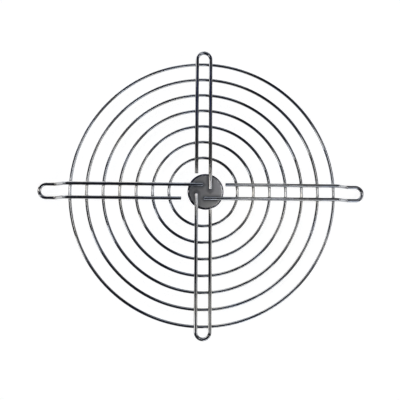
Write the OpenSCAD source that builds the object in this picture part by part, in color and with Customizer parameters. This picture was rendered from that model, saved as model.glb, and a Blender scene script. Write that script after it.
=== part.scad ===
// Wire finger guard for a 172 x 150 mm axial fan: concentric wire rings and a
// centre disc, welded under four hairpin spokes. The two long spokes step down
// to loops that take the mounting screws, and the two short ones stay flat.
// The guard lies with its screw loops on z = 0, the rings' axis on Z and the
// long spokes along X.

/* [Mounting] */
// Distance between the centres of the two screw loops
screw_spacing = 162; // [160:0.5:170]
// Straight wire between a screw loop's bend and the step
loop_straight = 3.95; // [2:0.05:8]
// Drop from the spokes' plane to the screw loops' plane, between wire axes
step_drop = 4.6; // [3.5:0.1:6]
// Slope of the step in the long spokes, in degrees
step_angle = 38; // [34:1:60]
// Bend radius of the step, at the wire's axis
step_bend_r = 3; // [2:0.1:3.5]
// Straight wire between the outer ring and the step
step_gap = 0.2; // [0:0.1:1.5]

/* [Wire] */
// Diameter of the spokes' wire
spoke_wire_d = 1.9; // [1.4:0.1:2.2]
// Diameter of the rings' wire
ring_wire_d = 1.6; // [1.2:0.1:2]
// Depth that the welds sink the spokes into the rings and the disc
weld_depth = 0.2; // [0.1:0.05:0.3]
// Chamfer that the shear and the tumbling leave on the spokes' cut ends
end_chamfer = 0.2; // [0.1:0.05:0.4]

/* [Rings] */
// Number of rings
ring_count = 7; // [4:1:7]
// Radius of the innermost ring, at the wire's axis
first_ring_r = 17.7; // [15:0.1:19]

/* [Spokes] */
// Distance between a spoke's two legs, between wire axes
leg_pitch = 7.1; // [6:0.1:8]
// Straight wire between the outer ring and the bend of a short spoke
short_spoke_gap = 1.4; // [0.5:0.1:8]
// Distance from the centre to the long leg's end, on the stepped spokes
stepped_long_end = 0; // [0:0.1:2]
// Distance from the centre to the short leg's end, on the stepped spokes
stepped_short_end = 11.3; // [8:0.1:13]
// Distance from the centre to the long leg's end, on the short spokes
flat_long_end = 1; // [0:0.1:2]
// Distance from the centre to the short leg's end, on the short spokes
flat_short_end = 9.3; // [8:0.1:13]

/* [Centre disc] */
// Diameter of the disc
disc_d = 18.6; // [14:0.1:20]
// Thickness of the disc
disc_t = 1.2; // [0.8:0.1:2]
// Radius of the rolled edge on the disc's upper side
disc_edge_r = 0.7; // [0.2:0.1:0.7]
// Distance from the rings' axis to the disc's, along the long spokes
disc_offset = 1.2; // [0:0.1:1.5]

/* [Hidden] */
$fn = 48;
// Facets round a whole ring
ring_fn = 144;
// Overlap that makes one length of wire and the next a single solid
joint_overlap = 0.001;

// Heights of the wire axes, from the floor up
loop_z = spoke_wire_d / 2;
spoke_z = loop_z + step_drop;
ring_z = spoke_z - (spoke_wire_d + ring_wire_d) / 2 + weld_depth;
disc_top_z = spoke_z - spoke_wire_d / 2 + weld_depth;

// The step: two equal bends with a straight slope between them
bend_run = step_bend_r * sin(step_angle);
bend_drop = step_bend_r * (1 - cos(step_angle));
slope_length = (step_drop - 2 * bend_drop) / sin(step_angle);
step_run = 2 * bend_run + slope_length * cos(step_angle);

// Where the step starts, and the room that it leaves for the rings
step_x = screw_spacing / 2 - loop_straight - step_run;
rim_r = step_x - step_gap;
outer_ring_r = rim_r - ring_wire_d / 2;
ring_pitch = (outer_ring_r - first_ring_r) / (ring_count - 1);
short_bend_x = rim_r + short_spoke_gap;

// Spokes by name, in quarter turns from +X. The even ones are stepped.
SPOKES = ["stepped_spoke_right", "short_spoke_back", "stepped_spoke_left", "short_spoke_front"];
RINGS = [for (i = [1:ring_count]) str("ring_", i)];

function ring_r(i) = first_ring_r + (i - 1) * ring_pitch;
function is_stepped(i) = i % 2 == 0;

// Straight spoke wire along +X. Children carry on from its end.
module run(length) {
    rotate([0, 90, 0]) cylinder(h = length, d = spoke_wire_d);
    translate([length, 0, 0]) children();
}

// Cut end of the spoke wire, along +X: where a chain of wire starts, and where it
// ends. Children carry on from the first.
module first_end() {
    rotate([0, 90, 0])
        cylinder(h = end_chamfer, d1 = spoke_wire_d - 2 * end_chamfer, d2 = spoke_wire_d);
    translate([end_chamfer, 0, 0]) children();
}

module last_end() {
    rotate([0, 90, 0])
        cylinder(h = end_chamfer, d1 = spoke_wire_d, d2 = spoke_wire_d - 2 * end_chamfer);
}

// Bend of spoke wire that starts along +X and turns to the left, by up to 180
// degrees. A roll about X first turns it up (90) or down (-90) instead.
// Children carry on from its end.
module bend(radius, angle, roll = 0) {
    reach = radius + spoke_wire_d;
    rotate([roll, 0, 0]) translate([0, radius, 0]) {
        difference() {
            rotate(-90) rotate_extrude(angle = 180) translate([radius, 0]) circle(d = spoke_wire_d);
            if (angle < 180)
                rotate(angle) translate([joint_overlap, -reach, -spoke_wire_d])
                    cube([reach, 2 * reach, 2 * spoke_wire_d]);
        }
        rotate(angle) translate([0, -radius, 0]) rotate([-roll, 0, 0]) children();
    }
}

// Step between the spokes' plane and the screw loops' plane: up for a side of
// 1, down for -1. Children carry on from its end.
module step(side) {
    bend(step_bend_r, step_angle, roll = 90 * side)
        run(slope_length)
            bend(step_bend_r, step_angle, roll = -90 * side) children();
}

// Distance from the centre to the end of a leg of spoke i
function leg_end(i, long) =
    is_stepped(i) ? (long ? stepped_long_end : stepped_short_end)
                  : (long ? flat_long_end : flat_short_end);

// Length of a leg across the rings, from its cut end to the step or the end bend
function leg_length(i, long) = (is_stepped(i) ? step_x : short_bend_x) - leg_end(i, long);

// The wire of spoke i, bend by bend, from its long leg's end to its short leg's
module spoke(i) {
    long_run = leg_length(i, true) - end_chamfer;
    short_run = leg_length(i, false) - end_chamfer;
    color("gainsboro")
        rotate(90 * i) translate([leg_end(i, true), -leg_pitch / 2, spoke_z])
            if (is_stepped(i))
                first_end() run(long_run) step(-1) run(loop_straight)
                    bend(leg_pitch / 2, 180)
                        run(loop_straight) step(1) run(short_run) last_end();
            else
                first_end() run(long_run) bend(leg_pitch / 2, 180) run(short_run) last_end();
}

// The spokes' legs where they cross the rings and the disc
module crossing_wires() {
    for (i = [0:len(SPOKES) - 1], long = [true, false])
        rotate(90 * i)
            translate([leg_end(i, long), (long ? -1 : 1) * leg_pitch / 2, spoke_z])
                run(leg_length(i, long));
}

// One ring, with the seat that the weld makes at each crossing
module ring(i) {
    color("silver")
        difference() {
            translate([0, 0, ring_z])
                rotate_extrude($fn = ring_fn) translate([ring_r(i), 0]) circle(d = ring_wire_d);
            crossing_wires();
        }
}

// Half section of the disc, with its axis at x = 0 and its top at y = 0
module disc_section() {
    translate([0, -disc_t]) square([disc_d / 2, disc_t - disc_edge_r]);
    translate([0, -disc_edge_r]) square([disc_d / 2 - disc_edge_r, disc_edge_r]);
    intersection() {
        translate([disc_d / 2 - disc_edge_r, -disc_edge_r]) circle(r = disc_edge_r);
        translate([disc_d / 2 - disc_edge_r, -disc_edge_r]) square(disc_edge_r);
    }
}

// Disc with a rolled edge, seated under the long legs
module centre_disc() {
    color("gray")
        difference() {
            translate([disc_offset, 0, disc_top_z]) rotate_extrude() disc_section();
            crossing_wires();
        }
}

for (i = [1:ring_count]) ring(i);
for (i = [0:len(SPOKES) - 1]) spoke(i);
centre_disc();
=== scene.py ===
import math

import bmesh
import bpy
from mathutils import Matrix, Vector, noise


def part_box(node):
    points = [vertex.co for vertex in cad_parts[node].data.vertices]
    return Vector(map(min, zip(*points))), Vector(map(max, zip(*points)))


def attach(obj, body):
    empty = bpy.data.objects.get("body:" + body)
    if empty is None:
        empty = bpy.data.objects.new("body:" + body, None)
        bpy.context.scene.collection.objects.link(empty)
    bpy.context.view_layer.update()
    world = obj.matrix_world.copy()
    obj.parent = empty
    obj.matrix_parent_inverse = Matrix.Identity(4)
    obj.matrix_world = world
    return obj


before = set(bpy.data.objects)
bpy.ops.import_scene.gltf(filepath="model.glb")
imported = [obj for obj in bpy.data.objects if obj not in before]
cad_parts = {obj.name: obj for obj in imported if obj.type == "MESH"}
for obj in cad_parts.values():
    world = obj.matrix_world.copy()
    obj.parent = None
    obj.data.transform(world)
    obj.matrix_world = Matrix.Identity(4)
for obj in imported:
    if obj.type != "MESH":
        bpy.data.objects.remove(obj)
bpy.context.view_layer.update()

MM = 0.001
scene = bpy.context.scene
scene.view_settings.view_transform = "Standard"
scene.view_settings.look = "None"
scene.view_settings.gamma = 0.8

RINGS = sorted(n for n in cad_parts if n.startswith("ring_"))
STEPPED = ["stepped_spoke_right", "stepped_spoke_left"]
SHORT = ["short_spoke_back", "short_spoke_front"]
DISC = "centre_disc"

# Sizes and places of the wires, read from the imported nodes, in metres
ring_boxes = {name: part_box(name) for name in RINGS}
outer_low, outer_high = ring_boxes[RINGS[-1]]
RING_WIRE_R = (outer_high.z - outer_low.z) / 2
RING_Z = (outer_high.z + outer_low.z) / 2
RING_R = {name: high.x - RING_WIRE_R for name, (low, high) in ring_boxes.items()}
short_low, short_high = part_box(SHORT[0])
SPOKE_WIRE_R = (short_high.z - short_low.z) / 2
SPOKE_Z = (short_high.z + short_low.z) / 2
LEG_Y = short_high.x - SPOKE_WIRE_R
disc_low, disc_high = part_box(DISC)
DISC_R = (disc_high.y - disc_low.y) / 2
DISC_X = (disc_high.x + disc_low.x) / 2
DISC_TOP = disc_high.z
# Quarter turn of each spoke from +X. Its long leg is on its own right-hand side.
QUARTER = {"stepped_spoke_right": 0, "short_spoke_back": 1, "stepped_spoke_left": 2, "short_spoke_front": 3}


# ---------------------------------------------------------------- materials
# Scales of the noise that the materials use, in features a metre
BROAD_SCALE = 60.0
CLOUD_SCALE = 420.0
LINE_SCALE = 9000.0
ROLLED_SCALE = 130.0
RIM_SCALE = 330.0
PAPER_SCALE = 40.0
# How far noise is stretched along the wire, for drawing lines
LINE_STRETCH = 0.03
TURN_STRETCH = 0.0008


class Nodes:
    """Short calls for building one material's node tree."""

    def __init__(self, name):
        self.material = bpy.data.materials.new(name)
        self.material.use_nodes = True
        self.tree = self.material.node_tree
        self.bsdf = self.tree.nodes["Principled BSDF"]

    def add(self, kind, inputs=None, **settings):
        node = self.tree.nodes.new("ShaderNode" + kind)
        for key, value in settings.items():
            setattr(node, key, value)
        for key, value in (inputs or {}).items():
            self.set(node.inputs[key], value)
        return node

    def set(self, socket, value):
        if isinstance(value, bpy.types.NodeSocket):
            self.tree.links.new(value, socket)
        else:
            socket.default_value = value

    def math(self, operation, a, b=0.0):
        return self.add("Math", {0: a, 1: b}, operation=operation).outputs[0]

    def ramp(self, value, low, high, to_low, to_high):
        inputs = {"Value": value, 1: low, 2: high, 3: to_low, 4: to_high}
        return self.add("MapRange", inputs, clamp=True).outputs[0]

    def noise(self, vector, scale, detail=2.0):
        inputs = {"Vector": vector, "Scale": scale, "Detail": detail}
        return self.add("TexNoise", inputs).outputs["Fac"]

    def mix(self, factor, a, b):
        return self.add("Mix", {"Factor": factor, 6: a, 7: b}, data_type="RGBA").outputs[2]


def distance(n, x, y):
    """Length of the vector (x, y)."""
    return n.math("SQRT", n.math("ADD", n.math("MULTIPLY", x, x), n.math("MULTIPLY", y, y)))


def drawn_lines(n, x, y, z, along):
    """Noise in long streaks that run the way the wire was drawn: round the rings, or along X or Y."""
    if along == "ring":
        turned = n.math("MULTIPLY", n.math("ARCTAN2", y, x), TURN_STRETCH)
        parts = (distance(n, x, y), turned, z)
    elif along == "x":
        parts = (n.math("MULTIPLY", x, LINE_STRETCH), y, z)
    else:
        parts = (x, n.math("MULTIPLY", y, LINE_STRETCH), z)
    vector = n.add("CombineXYZ", dict(enumerate(parts))).outputs[0]
    return n.noise(vector, LINE_SCALE, 3.0)


def near_legs(n, x, y):
    """1 under the spokes' legs, where the welds were made, falling to 0 about 2 mm away."""
    off_x = n.math("ABSOLUTE", n.math("SUBTRACT", n.math("ABSOLUTE", x), LEG_Y))
    off_y = n.math("ABSOLUTE", n.math("SUBTRACT", n.math("ABSOLUTE", y), LEG_Y))
    return n.ramp(n.math("MINIMUM", off_x, off_y), 0.9 * MM, 2.2 * MM, 1.0, 0.0)


def near_rings(n, x, y):
    """1 over each ring, falling to 0 about 2 mm away."""
    first, last = RING_R[RINGS[0]], RING_R[RINGS[-1]]
    pitch = (last - first) / (len(RINGS) - 1)
    off = n.math("ABSOLUTE", n.math("SUBTRACT", distance(n, x, y), first))
    off = n.math("PINGPONG", off, pitch / 2)
    return n.ramp(off, 0.8 * MM, 2.0 * MM, 1.0, 0.0)


def disc_reach(n, x, y):
    """Distance from the disc's own axis."""
    return distance(n, n.math("SUBTRACT", x, DISC_X), y)


def painted_leg_shade_zone(n, x, y):
    """1 along the long legs on the disc, where their shadow and dark reflection are painted on as a darker tone,
    falling to 0 about 2.5 mm away.
    """
    nearest = None
    for across, along in ((y, x), (n.math("MULTIPLY", x, -1.0), y)):
        for sign in (1.0, -1.0):
            off = n.math("ABSOLUTE", n.math("ADD", n.math("MULTIPLY", across, sign), LEG_Y))
            past_end = n.math("MAXIMUM", n.math("SUBTRACT", 0.3 * MM, n.math("MULTIPLY", along, sign)), 0.0)
            off = n.math("ADD", off, past_end)
            nearest = off if nearest is None else n.math("MINIMUM", nearest, off)
    return n.ramp(nearest, 1.0 * MM, 2.5 * MM, 1.0, 0.0)


def chrome(name, tones, rough, along, weld_zone=None, haze=0.0, wave=0.0, line_depth=0.000004):
    """Bright chrome plate. tones are its cool and warm colours, then the weld-stained colour on the wires, which
    on the disc is instead the painted shade beside the legs, and on the disc a fourth, the painted dark
    reflection at the rim; rough is its range of roughness, haze what satin adds to the roughness off a disc's
    edge, wave the waviness of rolled sheet, and line_depth the depth of the drawing lines, in metres."""
    n = Nodes(name)
    place = n.add("TexCoord").outputs["Object"]
    split = n.add("SeparateXYZ", {0: place})
    x, y, z = split.outputs
    broad = n.noise(place, BROAD_SCALE)
    cloud = n.noise(place, CLOUD_SCALE, 3.0)
    lines = drawn_lines(n, x, y, z, along)
    tone = n.mix(n.ramp(broad, 0.35, 0.65, 0.0, 1.0), tones[0], tones[1])
    worn = n.math("ADD", n.math("MULTIPLY", cloud, 0.6), n.math("MULTIPLY", lines, 0.4))
    roughness = n.ramp(worn, 0.32, 0.68, *rough)
    if weld_zone:
        stain = n.math("MULTIPLY", weld_zone(n, x, y), n.ramp(cloud, 0.3, 0.7, 0.35, 1.0))
        tone = n.mix(n.math("MULTIPLY", stain, 0.5), tone, tones[2])
        roughness = n.math("ADD", roughness, n.math("MULTIPLY", stain, 0.05))
    height = n.math("MULTIPLY", lines, line_depth)
    if haze:
        reach = disc_reach(n, x, y)
        face = n.ramp(reach, DISC_R - 1.0 * MM, DISC_R - 0.6 * MM, 1.0, 0.0)
        roughness = n.math("ADD", roughness, n.math("MULTIPLY", face, haze))
        rolled = n.noise(place, ROLLED_SCALE, 1.0)
        height = n.math("ADD", height, n.math("MULTIPLY", n.math("MULTIPLY", rolled, face), wave))
        # Painted shade on the disc beside the long legs, darker in mottled patches. It stands in for the legs'
        # shadow and dark reflection.
        painted_leg_shade = n.math("MULTIPLY", painted_leg_shade_zone(n, x, y), n.ramp(rolled, 0.3, 0.7, 0.6, 1.0))
        tone = n.mix(n.math("MULTIPLY", painted_leg_shade, 0.8), tone, tones[2])
        # Painted dark reflection: a near-black outline round the disc's rim, broken into dashes by noise, in
        # place of the dark its rolled edge would mirror.
        painted_dark_rim = n.ramp(reach, DISC_R - 0.60 * MM, DISC_R - 0.35 * MM, 0.0, 1.0)
        broken = n.ramp(n.noise(place, RIM_SCALE, 2.0), 0.36, 0.46, 0.35, 1.0)
        painted_dark_rim = n.math("MULTIPLY", painted_dark_rim, broken)
        tone = n.mix(painted_dark_rim, tone, tones[3])
    n.set(n.bsdf.inputs["Base Color"], tone)
    n.set(n.bsdf.inputs["Roughness"], roughness)
    bump = n.add("Bump", {"Distance": 1.0, "Height": height})
    bump.inputs["Strength"].default_value = 1.0
    n.set(n.bsdf.inputs["Normal"], bump.outputs[0])
    n.bsdf.inputs["Metallic"].default_value = 1.0
    return n.material


def paint(obj, material):
    obj.data.materials.clear()
    obj.data.materials.append(material)


COOL, WARM, STAIN = (0.53, 0.55, 0.59, 1), (0.58, 0.57, 0.55, 1), (0.38, 0.37, 0.36, 1)
ring_chrome = chrome("ring_chrome", (COOL, WARM, STAIN), (0.02, 0.07), "ring", near_legs)
spoke_x_chrome = chrome("spoke_x_chrome", (COOL, WARM, STAIN), (0.02, 0.06), "x", near_rings)
spoke_y_chrome = chrome("spoke_y_chrome", (COOL, WARM, STAIN), (0.02, 0.06), "y", near_rings)
# The disc's tones: two base tones, then the painted shade beside the legs, then the painted dark reflection round
# the rim.
DISC_TONES = ((0.57, 0.57, 0.58, 1), (0.64, 0.63, 0.61, 1), (0.24, 0.24, 0.25, 1), (0.05, 0.05, 0.08, 1))
disc_chrome = chrome("disc_chrome", DISC_TONES, (0.03, 0.08), "x", None, 0.24, 0.00003, 0.0000008)
WELD_TONES = ((0.45, 0.46, 0.49, 1), (0.52, 0.50, 0.47, 1), STAIN)
weld_chrome = chrome("weld_chrome", WELD_TONES, (0.12, 0.25), "x")
for name in RINGS:
    paint(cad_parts[name], ring_chrome)
for name in STEPPED:
    paint(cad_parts[name], spoke_x_chrome)
for name in SHORT:
    paint(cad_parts[name], spoke_y_chrome)
paint(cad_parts[DISC], disc_chrome)


# ---------------------------------------------------------------- welds
def piece(name, mesh_maker, material):
    """A new piece of the guard from a function that fills a bmesh."""
    bm = bmesh.new()
    mesh_maker(bm)
    bmesh.ops.recalc_face_normals(bm, faces=bm.faces)
    mesh = bpy.data.meshes.new(name)
    bm.to_mesh(mesh)
    bm.free()
    mesh.polygons.foreach_set("use_smooth", [True] * len(mesh.polygons))
    obj = bpy.data.objects.new(name, mesh)
    obj.data.materials.append(material)
    scene.collection.objects.link(obj)
    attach(obj, "root")


def tube(bm, points, radii, sides=8):
    """Closed tube round a closed loop of points, with a radius at each."""
    count = len(points)
    rows = []
    for i, point in enumerate(points):
        ahead = (points[(i + 1) % count] - points[i - 1]).normalized()
        side = ahead.cross(Vector((0, 0, 1))).normalized()
        up = side.cross(ahead)
        rows.append([
            bm.verts.new(point + radii[i] * (side * math.cos(a) + up * math.sin(a)))
            for a in (2 * math.pi * k / sides for k in range(sides))
        ])
    for i in range(count):
        here, there = rows[i], rows[(i + 1) % count]
        for k in range(sides):
            bm.faces.new((here[k], there[k], there[(k + 1) % sides], here[(k + 1) % sides]))


def spoke_point(quarter, along, across, z):
    """Point beside a spoke, in the row frame: along it from the centre, and to its left."""
    turn = Matrix.Rotation(quarter * math.pi / 2, 3, "Z")
    return turn @ Vector((along, across, z))


def long_leg_end(name):
    """How near the centre a spoke's long leg starts."""
    turn = Matrix.Rotation(-QUARTER[name] * math.pi / 2, 3, "Z")
    turned = (turn @ v.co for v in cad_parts[name].data.vertices)
    return min(p.x for p in turned if p.y < 0)


FLASH_R = 0.13 * MM
FLASH_GAP = 0.10 * MM
FLASH_STEPS = 20
HALVINGS = 18
COLLAR_STEPS = 9
COLLAR_SIDES = 24
COLLAR_HALF = 0.45 * MM


def ring_crossing(bm, quarter, side, radius, seed):
    """Flash squeezed out round the weld where a leg crosses a ring, in the crevice between the wires."""
    across = side * LEG_Y
    along = math.sqrt(radius ** 2 - across ** 2)
    points, radii = [], []
    for k in range(FLASH_STEPS):
        angle = 2 * math.pi * k / FLASH_STEPS
        low, high = 0.0, 0.95 * SPOKE_WIRE_R
        for _ in range(HALVINGS):
            reach = (low + high) / 2
            dx, dy = reach * math.cos(angle), reach * math.sin(angle)
            off_leg = min(abs(dy), SPOKE_WIRE_R * 0.999)
            off_ring = min(abs(math.hypot(along + dx, across + dy) - radius), RING_WIRE_R * 0.999)
            under = SPOKE_Z - math.sqrt(SPOKE_WIRE_R ** 2 - off_leg ** 2)
            top = RING_Z + math.sqrt(RING_WIRE_R ** 2 - off_ring ** 2)
            if under - top < FLASH_GAP:
                low = reach
            else:
                high = reach
        points.append(spoke_point(quarter, along + dx, across + dy, (under + top) / 2))
        wobble = noise.noise(Vector((math.cos(angle), math.sin(angle), seed * 3.7)) * 1.6)
        radii.append(FLASH_R * (1.0 + 0.45 * wobble))
    tube(bm, points, radii)


def disc_spot(bm, quarter, along, across, half_length, seed):
    """Flash beside a leg where it's spot-welded to the disc: a long narrow loop in the two crevices."""
    points, radii = [], []
    for k in range(2 * FLASH_STEPS):
        angle = 2 * math.pi * k / (2 * FLASH_STEPS)
        width = 0.62 * SPOKE_WIRE_R
        wobble = noise.noise(Vector((math.cos(angle) * 2, math.sin(angle) * 2, seed * 5.1)))
        dy = width * math.sin(angle) * (1.0 + 0.12 * wobble)
        dx = half_length * math.cos(angle)
        points.append(spoke_point(quarter, along + dx, across + dy, DISC_TOP + 0.02 * MM))
        radii.append(FLASH_R * (1.15 + 0.5 * wobble))
    tube(bm, points, radii)


def make_ring_welds(bm):
    seed = 0
    for quarter in QUARTER.values():
        for side in (-1, 1):
            for ring in RINGS:
                seed += 1
                ring_crossing(bm, quarter, side, RING_R[ring], seed)


def make_disc_welds(bm):
    for seed, (name, quarter) in enumerate(QUARTER.items()):
        long_end = long_leg_end(name)
        centre = Matrix.Rotation(-quarter * math.pi / 2, 3, "Z") @ Vector((DISC_X, 0, 0))
        rim = centre.x + math.sqrt(DISC_R ** 2 - (LEG_Y + centre.y) ** 2)
        disc_spot(bm, quarter, long_end + 1.5 * MM, -LEG_Y, 1.0 * MM, seed + 0.3)
        disc_spot(bm, quarter, rim - 2.2 * MM, -LEG_Y, 1.0 * MM, seed + 7.9)


def make_butt_welds(bm):
    """Upset metal where each ring was closed: a low collar round the wire, under the front spoke's legs."""
    for i, name in enumerate(RINGS):
        side = -1 if i % 2 else 1
        middle = -math.pi / 2 + side * math.asin(LEG_Y / RING_R[name])
        rows = []
        for step in range(COLLAR_STEPS):
            t = step / ((COLLAR_STEPS - 1) / 2) - 1
            angle = middle + t * COLLAR_HALF / RING_R[name]
            out = Vector((math.cos(angle), math.sin(angle), 0))
            swell = RING_WIRE_R * (0.99 + 0.07 * math.cos(t * math.pi / 2) ** 2)
            row = []
            for k in range(COLLAR_SIDES):
                a = 2 * math.pi * k / COLLAR_SIDES
                rough = 1 + 0.02 * noise.noise(Vector((math.cos(a) * 2, math.sin(a) * 2, t + i * 3.1)))
                low_side = 0.985 if math.sin(a) > 0.55 else 1.0
                r = swell * rough * low_side
                centre = out * RING_R[name] + Vector((0, 0, RING_Z))
                row.append(bm.verts.new(centre + r * (out * math.cos(a) + Vector((0, 0, math.sin(a))))))
            rows.append(row)
        for here, there in zip(rows, rows[1:]):
            for k in range(COLLAR_SIDES):
                following = (k + 1) % COLLAR_SIDES
                bm.faces.new((here[k], there[k], there[following], here[following]))
        bm.faces.new(rows[0])
        bm.faces.new(rows[-1])


piece("ring_welds", make_ring_welds, weld_chrome)
piece("disc_welds", make_disc_welds, weld_chrome)
piece("butt_welds", make_butt_welds, weld_chrome)

# ---------------------------------------------------------------- floor and wall
FLOOR_HALF = 12.0
FLOOR_GLOW = 0.89
WALL_GLOW = 1.0
WALL_R = 1.3
WALL_HEIGHT = 3.0
WALL_SIDES = 96


def pale_paper(name, glow):
    """Pale paper that glows a little, so that it reads as white round the guard."""
    n = Nodes(name)
    place = n.add("TexCoord").outputs["Object"]
    tone = n.mix(n.noise(place, PAPER_SCALE), (0.34, 0.34, 0.34, 1), (0.36, 0.36, 0.358, 1))
    n.set(n.bsdf.inputs["Base Color"], tone)
    n.bsdf.inputs["Roughness"].default_value = 0.9
    n.bsdf.inputs["Emission Color"].default_value = (1, 1, 1, 1)
    n.bsdf.inputs["Emission Strength"].default_value = glow
    return n.material


def link_stage(name, bm, material):
    """A new object for the floor or the wall, from a bmesh that it then frees. It isn't staged yet."""
    mesh = bpy.data.meshes.new(name)
    bm.to_mesh(mesh)
    bm.free()
    obj = bpy.data.objects.new(name, mesh)
    obj.data.materials.append(material)
    scene.collection.objects.link(obj)
    return obj


bm = bmesh.new()
bmesh.ops.create_grid(bm, x_segments=1, y_segments=1, size=FLOOR_HALF)
floor = link_stage("floor", bm, pale_paper("floor_paper", FLOOR_GLOW))

# A paper wall round the set. The camera sees it in the low views. The chrome doesn't reflect it and the light
# passes it, so what the wires mirror is the studio alone.
bm = bmesh.new()
angles = [2 * math.pi * k / WALL_SIDES for k in range(WALL_SIDES)]
bottom, top = (
    [bm.verts.new((WALL_R * math.cos(a), WALL_R * math.sin(a), z)) for a in angles] for z in (0.0, WALL_HEIGHT)
)
for k in range(WALL_SIDES):
    following = (k + 1) % WALL_SIDES
    bm.faces.new((bottom[following], bottom[k], top[k], top[following]))
wall = link_stage("wall", bm, pale_paper("wall_paper", WALL_GLOW))
wall.visible_diffuse = wall.visible_glossy = wall.visible_transmission = wall.visible_shadow = False

# ---------------------------------------------------------------- light
world = bpy.data.worlds.new("studio")
scene.world = world
world.use_nodes = True
tree = world.node_tree
background = tree.nodes["Background"]
direction = tree.nodes.new("ShaderNodeTexCoord")
split = tree.nodes.new("ShaderNodeSeparateXYZ")
tree.links.new(direction.outputs["Generated"], split.inputs[0])
height = tree.nodes.new("ShaderNodeValToRGB")
tree.links.new(split.outputs[2], height.inputs[0])
tree.links.new(height.outputs[0], background.inputs["Color"])
# The studio's sky, from the horizon up: a bright band low down, and near black above it
SKY = [
    (0.0, (1.0, 1.0, 1.0, 1)),
    (0.05, (0.8, 0.8, 0.81, 1)),
    (0.10, (0.040, 0.042, 0.050, 1)),
    (1.0, (0.026, 0.028, 0.036, 1)),
]
stops = height.color_ramp.elements
stops[0].position, stops[0].color = SKY[0]
stops[1].position, stops[1].color = SKY[-1]
for position, colour in SKY[1:-1]:
    stops.new(position).color = colour


def softbox(name, azimuth, elevation, half_width, half_height, level, colour=(1, 1, 1)):
    """Area light 1 m from the guard, facing it: a direction in degrees, half sizes in metres, and its radiance.
    The camera doesn't see it."""
    a, e = math.radians(azimuth), math.radians(elevation)
    light = bpy.data.lights.new(name, "AREA")
    light.shape = "RECTANGLE"
    light.size, light.size_y = 2 * half_width, 2 * half_height
    light.energy = level * math.pi * light.size * light.size_y
    light.color = colour
    lamp = bpy.data.objects.new(name, light)
    out = Vector((math.cos(a) * math.cos(e), math.sin(a) * math.cos(e), math.sin(e)))
    across = Vector((-math.sin(a), math.cos(a), 0))
    up = out.cross(across)
    lamp.matrix_world = Matrix.Translation(out) @ Matrix((across, up, out)).transposed().to_4x4()
    lamp.visible_camera = False
    scene.collection.objects.link(lamp)


SOFTBOXES = [
    # azimuth, elevation, half width, half height, level, and a colour where it isn't white
    ("box_right_high", 27, 75, 0.06, 0.10, 3.1),
    ("box_right_top", 15, 80, 0.12, 0.08, 0.36),
    ("box_right_wide", 10, 66, 0.30, 0.15, 0.39),
    ("box_back", 84, 43, 0.21, 0.19, 1.0, (0.88, 0.93, 1.0)),
    ("box_back_low", 123, 3, 0.65, 0.32, 1.6),
    ("box_back_left", 132, 16, 0.38, 0.20, 0.85),
    ("box_back_high", 90, 67, 0.50, 0.07, 0.14, (0.25, 0.35, 1.0)),
    ("box_back_right", 40, 40, 0.20, 0.20, 0.12),
    ("box_left", 168, 52, 0.04, 0.22, 3.8, (1.0, 0.96, 0.91)),
    ("box_left_low", 199, 34, 0.08, 0.33, 1.9),
    ("box_front", 297, 28, 0.40, 0.12, 2.9, (0.88, 0.93, 1.0)),
    ("box_front_right", 320, 50, 0.15, 0.20, 0.11),
    ("box_right_low", 353, 24, 0.30, 0.18, 2.0),
]
for values in SOFTBOXES:
    softbox(*values)

# ---------------------------------------------------------------- camera
VIEW_TILT = math.radians(-5.77)
VIEW_TURN = math.radians(-2.24)
VIEW_ROLL = math.radians(0.35)
FOCAL_PX = 422.0
IMAGE_PX = 400.0
SENSOR_MM = 36.0
# From the camera to the rings' plane, and where the rings' axis meets it from the view's middle, in millimetres
DISTANCE = 218.0
AIM_RIGHT = 1.41 + 0.5 * DISTANCE / FOCAL_PX
AIM_DOWN = -4.52 + 0.5 * DISTANCE / FOCAL_PX
turn = Matrix.Rotation(VIEW_TILT, 3, "X") @ Matrix.Rotation(VIEW_TURN, 3, "Y")
flip = Matrix(((1, 0, 0), (0, -1, 0), (0, 0, -1)))
to_row = Matrix.Rotation(VIEW_ROLL, 3, "Z") @ flip @ turn.transposed()
eye = -(to_row @ Vector((AIM_RIGHT, AIM_DOWN, DISTANCE))) * MM + Vector((0, 0, RING_Z))
camera_data = bpy.data.cameras.new("camera")
camera_data.sensor_width = SENSOR_MM
camera_data.lens = SENSOR_MM * FOCAL_PX / IMAGE_PX
camera_data.clip_start = 0.01
camera = bpy.data.objects.new("camera", camera_data)
camera.matrix_world = Matrix.Translation(eye) @ (to_row @ flip).to_4x4()
scene.collection.objects.link(camera)
scene.camera = camera
